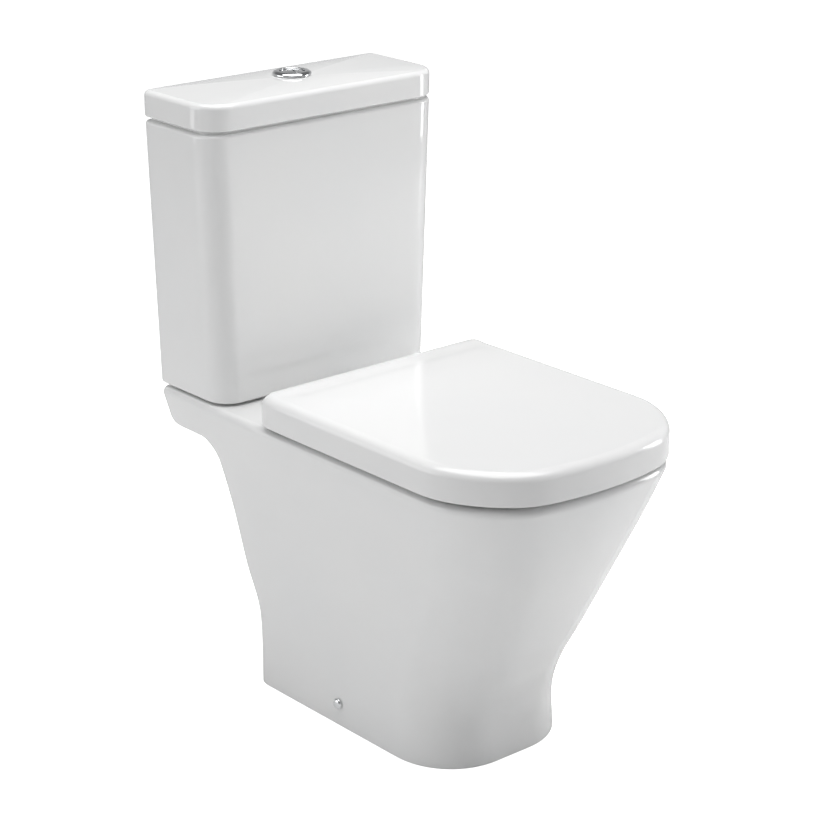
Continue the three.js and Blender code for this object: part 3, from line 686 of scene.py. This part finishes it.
def fill_valve_body():
    head = 640
    profile = [(6, 335), (9.8, 335), (10.4, 335.6), (10.4, 416.6), (17.5, 416.6), (18, 417.1), (18, 420.5)]
    profile += [(12.6, 423.4), (12, 424.5), (12, head), (20, head + 4), (20, 670)]
    profile += [(20 - 8 * (1 - math.cos(a)), 670 + 12 * math.sin(a)) for a in quarter(15, 90, 6)]
    profile += [(6, 682), (6, 335.3)]
    body = turned("fill_body", profile, INLET_X, INLET_Y)
    plug = pillar("fill_head", 7, (head, 682), INLET_X, INLET_Y)
    cheeks = []
    for edge in (INLET_Y - 9, INLET_Y + 6):
        span, rise = (PIVOT_X - 5, INLET_X - 12), (PIVOT_Z - 8, PIVOT_Z + 6)
        cheeks.append(block("cheek", span, (edge, edge + 3), rise, bevel=0.8))
    hole = along_y("pivot_hole", 2.4, 30, PIVOT_X, PIVOT_Z)
    return cut(join(body, plug, *cheeks), hole)


def along_y(name, radius, length, x, z, bevel=0.0):
    obj = pillar(name, radius, (z - length / 2, z + length / 2), x, INLET_Y, 40, bevel)
    return turn(obj, 90, "X", (x, INLET_Y, z))


def fill_valve_float():
    low, high = 560, 606
    cup = tube("float_cup", 29, 13, (low, high), INLET_X, INLET_Y, 72, bevel=2)
    rise = (high - 6, high - 0.01)
    ear = block("ear", (TIP_X - 5, INLET_X - 20), (INLET_Y - 5, INLET_Y + 5), rise, bevel=1)
    return join(cup, ear)


def fill_valve_lever():
    eye = along_y("lever_eye", 5, 10, PIVOT_X, PIVOT_Z, bevel=0.5)
    rise = (PIVOT_Z - 2, PIVOT_Z + 2)
    arm = block("arm", (TIP_X - 5, PIVOT_X), (INLET_Y - 4, INLET_Y + 4), rise, bevel=0.8)
    return cut(join(eye, arm), along_y("lever_hole", 2.4, 12, PIVOT_X, PIVOT_Z))


# ---- Seat and lid ----


def seat_lid_ring(z, inset=0.0, rear=None):
    """An outline of the lid. Its back stays where rear says, however far the other sides are drawn in."""
    rear = SEAT_LID_BACK if rear is None else rear
    shape = (SEAT_LID_HALF, SEAT_LID_FRONT, SEAT_LID_BULGE, SEAT_LID_RADIUS)
    return plan(*shape, rear + inset, SEAT_LID_REAR_CORNER, z, inset, soften=4)


def lid_rear_at(z):
    """Where the rounded back of the lid is at height z."""
    climb = min(max(0.0, z - LID_BACK_ROUND_FROM), LID_BACK_ROUND)
    return SEAT_LID_BACK - LID_BACK_ROUND + math.sqrt(LID_BACK_ROUND**2 - climb**2)


def seat_lid_shell():
    """The lid, hollow below: its roof and skirt inside, round the lower edge and up the outside."""
    roof, edge_high, edge_wide = LID_TOP - LID_WALL, 11.5, 14
    under = seat_lid_ring(roof, LID_WALL + 9, SEAT_LID_BACK - LID_WALL - 14)
    rings = inward(under, np.linspace(0.04, 1, 16)[:-1], 0.5)
    for a in quarter(90, 0, 7):
        draw = 9 * (1 - math.cos(a))
        z = roof - 9 * (1 - math.sin(a))
        rings.append(seat_lid_ring(z, LID_WALL + draw, lid_rear_at(z + LID_WALL) - LID_WALL))
    rings += [seat_lid_ring(z, LID_WALL, SEAT_LID_BACK - LID_WALL) for z in (425, 416, LID_BOTTOM + 4)]
    lip = LID_WALL / 2
    for a in quarter(0, 180, 9):
        inset = lip + lip * math.cos(a)
        rings.append(seat_lid_ring(LID_BOTTOM + lip * (1 - math.sin(a)), inset, SEAT_LID_BACK - inset))
    shoulder = LID_TOP - edge_high
    rings += [seat_lid_ring(z) for z in np.linspace(LID_BOTTOM + lip, shoulder, 8)[1:-1]]
    for a in quarter(0, 90, 14):
        z = shoulder + edge_high * math.sin(a)
        rings.append(seat_lid_ring(z, edge_wide * (1 - math.cos(a)), lid_rear_at(min(z, 444.5))))
    rings += inward(rings[-1], np.linspace(1, 0.03, 40)[1:], 1.0)
    for ring in rings[-52:]:
        share = np.clip((ring[:, 2] - 438) / 7, 0, 1)
        hump = HINGE_HUMP * np.exp(-(((ring[:, 1] - 92) / 7) ** 2))
        hollow = HINGE_HUMP * 0.6 * np.exp(-(((ring[:, 1] - 74) / 9) ** 2))
        ring[:, 2] += share * (hump - hollow)
    return skin("seat_lid_shell", rings)


def seat_lid():
    lugs, notches = [], []
    behind = (HINGE_Y + 2, SEAT_LID_BACK + 5)
    for side in SIDES:
        span = on_side(side, *LID_LUG)
        rise = (HINGE_Z, LID_TOP - LID_WALL + 0.5)
        web = block("web", span, (HINGE_Y - 9, HINGE_Y + 9), rise, bevel=0.5)
        lugs += [web, crosswise("lug", 9, span, HINGE_Y, HINGE_Z, bevel=0.6)]
        beside = on_side(side, RING_LUG[0] - 3, LID_LUG[0] - 0.1)
        notches.append(block("notch", beside, behind, (LID_BOTTOM - 5, 432), bevel=2))
        through = on_side(side, LID_LUG[0] - 1, LID_LUG[1] + 1)
        notches.append(crosswise("pin_hole", PIN_BORE, through, HINGE_Y, HINGE_Z))
    all_along = (-SEAT_LID_HALF - 5, SEAT_LID_HALF + 5)
    notches.append(block("rear_cut", all_along, behind, (LID_BOTTOM - 5, LID_REAR_BOTTOM)))
    return cut(join(seat_lid_shell(), *lugs), *notches)


def seat_ring_body():
    inset = LID_WALL + 3.5
    shape = (SEAT_LID_HALF - inset, SEAT_LID_FRONT + inset, SEAT_LID_BULGE, SEAT_LID_RADIUS - inset)

    def outer(z, draw):
        return plan(*shape, SEAT_BACK, SEAT_REAR_CORNER, z, draw, soften=4)

    middle, power = -113.0, 2.4

    def opening(like, half_width, front, back, z):
        """Points of the oval opening in the same directions as the points of an outer ring."""
        centre = (front + back) / 2
        angle = np.arctan2(like[:, 1] - middle, like[:, 0])
        reach = (np.abs(np.cos(angle)) / half_width) ** power
        reach = reach + (np.abs(np.sin(angle)) / ((back - front) / 2)) ** power
        reach = reach ** (-1 / power)
        return np.column_stack([reach * np.cos(angle), centre + reach * np.sin(angle), np.full(len(like), z)])

    rings = []
    low, high = SEAT_BOTTOM, SEAT_TOP
    for a in quarter(-90, 0, 5):
        rings.append(outer(low + 3 * (1 + math.sin(a)), 3 * (1 - math.cos(a))))
    for a in quarter(0, 90, 8):
        rings.append(outer(high - 7 * (1 - math.sin(a)) - 1.2, 9 * (1 - math.cos(a))))
    edge = rings[-1]
    inside = opening(edge, 119, -260, 33, high - 1.2)
    for share in np.linspace(0, 1, 12)[1:]:
        ring = edge + (inside - edge) * share
        ring[:, 2] += 1.2 * math.sin(math.pi * share)
        rings.append(ring)
    half_width, front, back = 108, -249, 22  # of the opening where it is narrowest
    for a in quarter(90, 0, 9)[1:]:
        out = 11 * math.sin(a)
        rings.append(opening(edge, half_width + out, front - out, back + out, high - 12.2 + out))
    for a in quarter(0, -90, 6)[1:]:
        out = 5 * (1 - math.cos(a))
        rings.append(opening(edge, half_width + out, front - out, back + out, low + 5 * (1 + math.sin(a))))
    return skin("seat_ring_body", rings, loop=True)


def seat_ring():
    lugs, holes = [], []
    for side in SIDES:
        span = on_side(side, *RING_LUG)
        lugs.append(crosswise("ring_lug", 8.5, span, HINGE_Y, HINGE_Z, bevel=0.6))
        rise = (HINGE_Z - 6, HINGE_Z + 8)
        lugs.append(block("ring_arm", span, (SEAT_BACK - 8, HINGE_Y), rise, bevel=0.6))
        through = on_side(side, RING_LUG[0] - 1, RING_LUG[1] + 1)
        holes.append(crosswise("ring_bore", PIN_BORE, through, HINGE_Y, HINGE_Z))
    return cut(join(seat_ring_body(), *lugs), *holes)


def hinge_post(side):
    x = side * HINGE_X
    span = (x - 5, x + 5)
    foot = pillar("post_foot", 14, (RIM_TOP + 0.3, RIM_TOP + 4.5), x, HINGE_Y, 64, bevel=0.8)
    beyond = on_side(side, HINGE_X + 5, HINGE_X + 16)
    foot = cut(foot, block("swing", beyond, (HINGE_Y - 20, HINGE_Y + 20), (RIM_TOP - 1, RIM_TOP + 6)))
    column = block("post_column", span, (HINGE_Y - 8.5, HINGE_Y + 8.5), (RIM_TOP + 4, HINGE_Z))
    head = crosswise("post_head", 8.5, span, HINGE_Y, HINGE_Z, bevel=0.5)
    bore = crosswise("post_bore", PIN_BORE, (x - 6, x + 6), HINGE_Y, HINGE_Z)
    return cut(join(foot, column, head), bore, pillar("stud_bore", 4.3, (RIM_TOP, 408), x, HINGE_Y))


def buffer(name, x, y, low, high):
    return pillar(name, 8, (low + 0.3, high - 0.3), x, y, 48, bevel=1)


# ---- Side fixings ----


def floor_bracket(side):
    outer = FIXING_WALL - CHINA - 2
    length = (FIXING_Y - 18, FIXING_Y + 18)
    wall = block("bracket_wall", on_side(side, outer - 5, outer), length, (0, 52), bevel=1)
    foot = block("bracket_foot", on_side(side, outer - 46, outer), length, (0, 5), bevel=1)
    hole = crosswise("screw_hole", 3.5, on_side(side, outer - 10, outer + 1), FIXING_Y, FIXING_Z)
    return cut(join(wall, foot), hole, pillar("floor_hole", 4.5, (-1, 6), side * (outer - 26), FIXING_Y))


def side_screw(side):
    face = FIXING_WALL + 0.8
    length = on_side(side, face - 32, face + 0.5)
    shank = crosswise("shank", 3, length, FIXING_Y, FIXING_Z, bevel=0.5)
    head = crosswise("head", 5.4, on_side(side, face, face + 2.2), FIXING_Y, FIXING_Z, bevel=0.4)
    return join(shank, head)


def screw_cap(side):
    """A thin chrome dome over the head of the side screw."""
    profile = [(6, 0), (7.0, 0), (7.3, 0.3), (7.3, 1.2)]
    profile += [(7.3 * math.cos(a), 1.2 + 3.7 * math.sin(a)) for a in quarter(12, 84, 9)]
    profile += [(0.3, 4.9), (0.3, 3.7)]
    profile += [(6 * math.cos(a), 1 + 2.7 * math.sin(a)) for a in quarter(80, 0, 7)]
    cap = turned("cap", profile, 0, 0, 64)
    centre = pillar("cap_centre", 0.6, (3.75, 4.88), 0, 0, 16)
    cap = turn(join(cap, centre), side * 90, "Y")
    cap.data.transform(Matrix.Translation(Vector((side * (FIXING_WALL + 0.8), FIXING_Y, FIXING_Z)) * MM))
    return cap


# ---- Materials ----

PATCHES = 6.0  # colour patches per metre


def coordinates(tree, scale):
    """Object-space coordinates times scale, per axis."""
    where = tree.nodes.new("ShaderNodeTexCoord")
    mapping = tree.nodes.new("ShaderNodeMapping")
    mapping.inputs["Scale"].default_value = scale
    tree.links.new(where.outputs["Object"], mapping.inputs["Vector"])
    return mapping.outputs["Vector"]


def noise(tree, vector, scale, detail=3.0):
    node = tree.nodes.new("ShaderNodeTexNoise")
    node.inputs["Scale"].default_value = scale
    node.inputs["Detail"].default_value = detail
    node.inputs["Roughness"].default_value = 0.5
    tree.links.new(vector, node.inputs["Vector"])
    return node.outputs["Fac"]


def ranged(tree, value, low, high):
    node = tree.nodes.new("ShaderNodeMapRange")
    node.inputs["From Min"].default_value = 0.3
    node.inputs["From Max"].default_value = 0.7
    node.inputs["To Min"].default_value = low
    node.inputs["To Max"].default_value = high
    tree.links.new(value, node.inputs["Value"])
    return node.outputs["Result"]


def mixed(tree, factor, first, second):
    node = tree.nodes.new("ShaderNodeMix")
    node.data_type = "RGBA"
    node.inputs["A"].default_value = (*first, 1)
    node.inputs["B"].default_value = (*second, 1)
    tree.links.new(factor, node.inputs["Factor"])
    return node.outputs["Result"]


def finish(name, colours, roughness, metallic=0.0, coat=0.0, bump=(0.0, 1.0), stretch=(1, 1, 1)):
    """A node material: colour drifting between two close tones, uneven roughness and a faint relief.

    bump is (height in mm, scale of its noise per metre)."""
    material = bpy.data.materials.new(name)
    material.use_nodes = True
    tree = material.node_tree
    shader = tree.nodes["Principled BSDF"]
    shader.inputs["Metallic"].default_value = metallic
    shader.inputs["IOR"].default_value = 1.5
    shader.inputs["Coat Weight"].default_value = coat
    shader.inputs["Coat Roughness"].default_value = 0.03
    vector = coordinates(tree, stretch)
    drift = ranged(tree, noise(tree, vector, PATCHES), 0, 1)
    tree.links.new(mixed(tree, drift, *colours), shader.inputs["Base Color"])
    uneven = ranged(tree, noise(tree, vector, PATCHES * 4), *roughness)
    tree.links.new(uneven, shader.inputs["Roughness"])
    height, scale = bump
    if height:
        relief = tree.nodes.new("ShaderNodeBump")
        relief.inputs["Strength"].default_value = 1.0
        relief.inputs["Distance"].default_value = height * MM
        tree.links.new(noise(tree, vector, scale, 2.0), relief.inputs["Height"])
        tree.links.new(relief.outputs["Normal"], shader.inputs["Normal"])
    return material


def make_finishes():
    white = (0.9, 0.9, 0.895)
    china = [(0.88, 0.885, 0.885), white]
    duroplast = [(0.89, 0.892, 0.892), white]
    chrome = [(0.82, 0.83, 0.84), (0.86, 0.87, 0.88)]
    steel = [(0.55, 0.56, 0.57), (0.64, 0.65, 0.66)]
    brass = [(0.7, 0.52, 0.23), (0.78, 0.6, 0.3)]
    rubber = [(0.022, 0.022, 0.024), (0.03, 0.03, 0.033)]
    buffer_rubber = [(0.48, 0.49, 0.5), (0.52, 0.53, 0.54)]
    white_plastic = [(0.84, 0.84, 0.82), (0.88, 0.88, 0.86)]
    blue_plastic = [(0.06, 0.18, 0.4), (0.08, 0.22, 0.45)]
    grain = (1, 1, 0.1)
    return {
        "china": finish("white_china", china, (0.05, 0.09), coat=0.5, bump=(0.05, 22)),
        "duroplast": finish("white_duroplast", duroplast, (0.1, 0.15), coat=0.25),
        "chrome": finish("polished_chrome", chrome, (0.05, 0.1), 1.0, bump=(0.01, 300)),
        "steel": finish("brushed_steel", steel, (0.25, 0.4), 1.0, bump=(0.02, 900), stretch=grain),
        "brass": finish("turned_brass", brass, (0.22, 0.36), 1.0, bump=(0.02, 700)),
        "rubber": finish("black_rubber", rubber, (0.7, 0.9), bump=(0.05, 900)),
        "buffer": finish("grey_rubber", buffer_rubber, (0.5, 0.7), bump=(0.03, 700)),
        "white_plastic": finish("white_plastic", white_plastic, (0.3, 0.42), bump=(0.02, 800)),
        "blue_plastic": finish("blue_plastic", blue_plastic, (0.3, 0.42), bump=(0.02, 800)),
    }


# ---- Assembly ----

finishes = make_finishes()


def show(obj, name, slot, nodes=None):
    """Names a piece and gives it a material, its body and the CAD node that it stands for."""
    nodes = nodes or [name]
    obj.name = "look_" + name
    obj.data.name = obj.name
    obj.data.materials.clear()
    obj.data.materials.append(finishes[slot])
    smooth(obj)
    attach(obj, body_of_node[nodes[0]])
    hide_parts(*nodes)


body_of_node = {}
for body, members in frame["record"]["behaviour"]["bodies"].items():
    for member in members:
        body_of_node[member] = body

show(pan(), "pan", "china")
show(tank(), "cistern_tank", "china")
show(cistern_lid(), "cistern_lid", "china")
show(seat_ring(), "seat_ring", "duroplast")
show(seat_lid(), "seat_lid", "duroplast")

show(bezel(), "button_bezel", "chrome")
show(tube("bezel_nut", 27, 19.2, (773, 781.5), 0, BUTTON_Y, bevel=0.8), "button_bezel_nut", "white_plastic")
show(button_guide(), "button_guide", "white_plastic")
show(button_part("full", -1), "full_flush_button", "chrome")
show(button_part("half", 1), "half_flush_button", "chrome")
show(rod("full_rod", ROD_X[0]), "full_flush_rod", "white_plastic")
show(rod("half_rod", ROD_X[1]), "half_flush_rod", "white_plastic")

show(flush_valve_housing(), "flush_valve_housing", "white_plastic")
show(tube("valve_washer", 39, 30.5, WASHER, 0, CISTERN_Y), "flush_valve_washer", "rubber")
show(nut("valve_nut", 40, 31, (385, TANK_BOTTOM - 0.3), 0, CISTERN_Y), "flush_valve_backnut", "white_plastic")
show(overflow_tube(), "overflow_tube", "blue_plastic")
show(tube("seal", 27.5, 14.3, (422.3, 425.7), 0, CISTERN_Y), "flush_seal", "rubber")
gasket = tube("gasket", 51.5, 42, (378.3, TANK_BOTTOM - 0.3), 0, CISTERN_Y, 96, bevel=2)
show(gasket, "cistern_gasket", "rubber")

show(fill_valve_body(), "fill_valve_body", "white_plastic")
show(tube("fill_washer", 17, 12.4, WASHER, INLET_X, INLET_Y), "fill_valve_washer", "rubber")
show(nut("fill_nut", 17, 10.8, (390, TANK_BOTTOM - 0.3), INLET_X, INLET_Y), "fill_valve_nut", "brass")
show(fill_valve_float(), "fill_valve_float", "blue_plastic")
show(pillar("link", 1.6, (606.3, PIVOT_Z - 3.2), TIP_X, INLET_Y, 24), "float_link", "steel")
show(fill_valve_lever(), "fill_valve_lever", "white_plastic")
show(along_y("pin", 2, 18, PIVOT_X, PIVOT_Z, bevel=0.3), "lever_pin", "steel")

for side, word in zip(SIDES, ("_left", "_right")):
    show(buffer("buffer_a", side * 128, -240, RIM_TOP, SEAT_BOTTOM), "seat_buffer_front" + word, "buffer")
    show(buffer("buffer_b", side * 150, 10, RIM_TOP, SEAT_BOTTOM), "seat_buffer_rear" + word, "buffer")
    show(buffer("buffer_c", side * 138, -170, SEAT_TOP, LID_TOP - LID_WALL), "lid_buffer" + word, "buffer")

    x = side * HINGE_X
    pin_span = on_side(side, RING_LUG[0] + 0.5, LID_LUG[1])
    show(hinge_post(side), "hinge_post" + word, "chrome")
    show(crosswise("hinge_pin", 4, pin_span, HINGE_Y, HINGE_Z, bevel=0.4), "hinge_pin" + word, "steel")
    show(pillar("stud", 3.9, (338, 407.5), x, HINGE_Y, bevel=0.6), "hinge_stud" + word, "steel")
    under_deck = (CAVITY_TOP - 3.3, CAVITY_TOP - 0.3)
    show(tube("hinge_washer", 14, WASHER_BORE, under_deck, x, HINGE_Y), "hinge_washer" + word, "rubber")
    show(wing_nut("hinge_nut", CAVITY_TOP - 3.6, x, HINGE_Y), "hinge_wing_nut" + word, "white_plastic")

    x = side * BOLT_X
    shank = pillar("bolt", 3.9, (316, 417), x, BOLT_Y, bevel=0.6)
    head = pillar("bolt_head", 9, (416.6, 421), x, BOLT_Y, bevel=1)
    show(join(shank, head), "cistern_bolt" + word, "brass")
    show(tube("bolt_seal", 12, WASHER_BORE, WASHER, x, BOLT_Y), "bolt_seal" + word, "rubber")
    below_deck = (DECK_UNDERSIDE - 2.4, DECK_UNDERSIDE - 0.4)
    show(tube("bolt_washer", 13, WASHER_BORE, below_deck, x, BOLT_Y), "bolt_washer" + word, "steel")
    show(wing_nut("bolt_nut", DECK_UNDERSIDE - 2.8, x, BOLT_Y), "bolt_wing_nut" + word, "brass")

    show(floor_bracket(side), "floor_bracket" + word, "white_plastic")
    show(side_screw(side), "side_screw" + word, "steel")
    show(screw_cap(side), "side_screw_cap" + word, "chrome")


# ---- Studio ----


def area_light(name, place, target, size, power):
    """A soft rectangular light that faces target."""
    data = bpy.data.lights.new(name, "AREA")
    data.shape = "RECTANGLE"
    data.size, data.size_y = size
    data.energy = power
    light = bpy.data.objects.new(name, data)
    bpy.context.scene.collection.objects.link(light)
    light.location = place
    light.rotation_euler = (Vector(target) - Vector(place)).to_track_quat("-Z", "Y").to_euler()


def direction(azimuth, elevation):
    """A unit vector, at azimuth degrees round from the front towards +X and elevation degrees up."""
    azimuth, elevation = math.radians(azimuth), math.radians(elevation)
    level = math.cos(elevation)
    return Vector((math.sin(azimuth) * level, -math.cos(azimuth) * level, math.sin(elevation)))


def lay_floor():
    mesh = bpy.data.meshes.new("floor")
    reach = 12
    corners = [(-reach, -reach, 0), (reach, -reach, 0), (reach, reach, 0), (-reach, reach, 0)]
    mesh.from_pydata(corners, [], [(0, 1, 2, 3)])
    floor = bpy.data.objects.new("floor", mesh)
    bpy.context.scene.collection.objects.link(floor)
    paper = bpy.data.materials.new("white_paper")
    paper.use_nodes = True
    shader = paper.node_tree.nodes["Principled BSDF"]
    shader.inputs["Base Color"].default_value = (0.93, 0.93, 0.93, 1)
    shader.inputs["Roughness"].default_value = 0.9
    shader.inputs["Specular IOR Level"].default_value = 0.1
    shader.inputs["Emission Color"].default_value = (1, 1, 1, 1)
    seen = paper.node_tree.nodes.new("ShaderNodeLightPath")
    glow = paper.node_tree.nodes.new("ShaderNodeMath")
    glow.operation = "MULTIPLY"
    glow.inputs[1].default_value = FLOOR_GLOW
    paper.node_tree.links.new(seen.outputs["Is Camera Ray"], glow.inputs[0])
    paper.node_tree.links.new(glow.outputs["Value"], shader.inputs["Emission Strength"])
    mesh.materials.append(paper)


def surround():
    """A room that is white to the camera, and lights the object more from near the floor than overhead."""
    world = bpy.data.worlds.new("studio")
    bpy.context.scene.world = world
    world.use_nodes = True
    tree = world.node_tree
    seen = tree.nodes["Background"]
    seen.inputs["Color"].default_value = (1, 1, 1, 1)
    seen.inputs["Strength"].default_value = 1.0
    lit = tree.nodes.new("ShaderNodeBackground")
    lit.inputs["Color"].default_value = (0.985, 0.99, 1.0, 1)
    towards = tree.nodes.new("ShaderNodeTexCoord")
    split = tree.nodes.new("ShaderNodeSeparateXYZ")
    fade = tree.nodes.new("ShaderNodeMapRange")
    fade.inputs["From Min"].default_value = 0.2
    fade.inputs["From Max"].default_value = 0.5
    fade.inputs["To Min"].default_value = SURROUND[0]
    fade.inputs["To Max"].default_value = SURROUND[1]
    tree.links.new(towards.outputs["Generated"], split.inputs["Vector"])
    tree.links.new(split.outputs["Z"], fade.inputs["Value"])
    tree.links.new(fade.outputs["Result"], lit.inputs["Strength"])
    path = tree.nodes.new("ShaderNodeLightPath")
    mix = tree.nodes.new("ShaderNodeMixShader")
    tree.links.new(path.outputs["Is Camera Ray"], mix.inputs["Fac"])
    tree.links.new(lit.outputs["Background"], mix.inputs[1])
    tree.links.new(seen.outputs["Background"], mix.inputs[2])
    tree.links.new(mix.outputs["Shader"], tree.nodes["World Output"].inputs["Surface"])


def studio():
    lay_floor()
    surround()
    for name, around, height, distance, size, power in LIGHTS:
        place = Vector(LIGHTS_MEET) + direction(-around, height) * distance
        area_light(name, place, LIGHTS_MEET, size, power)


def camera():
    """The viewpoint: where it stands, the way it looks, and a slight roll."""
    azimuth, roll = math.radians(CAMERA_AZIMUTH), math.radians(CAMERA_ROLL)
    back = direction(CAMERA_AZIMUTH, CAMERA_ELEVATION)
    right = Vector((math.cos(azimuth), math.sin(azimuth), 0))
    up = back.cross(right)
    across = math.cos(roll) * right - math.sin(roll) * up
    upward = math.sin(roll) * right + math.cos(roll) * up
    turned_to = Matrix((across, upward, back)).transposed().to_4x4()
    data = bpy.data.cameras.new("camera")
    data.sensor_width = 36
    data.lens = CAMERA_LENS
    obj = bpy.data.objects.new("camera", data)
    obj.matrix_world = Matrix.Translation(CAMERA_PLACE) @ turned_to
    bpy.context.scene.collection.objects.link(obj)
    bpy.context.scene.camera = obj


studio()
camera()
bpy.context.scene.view_settings.view_transform = "Standard"
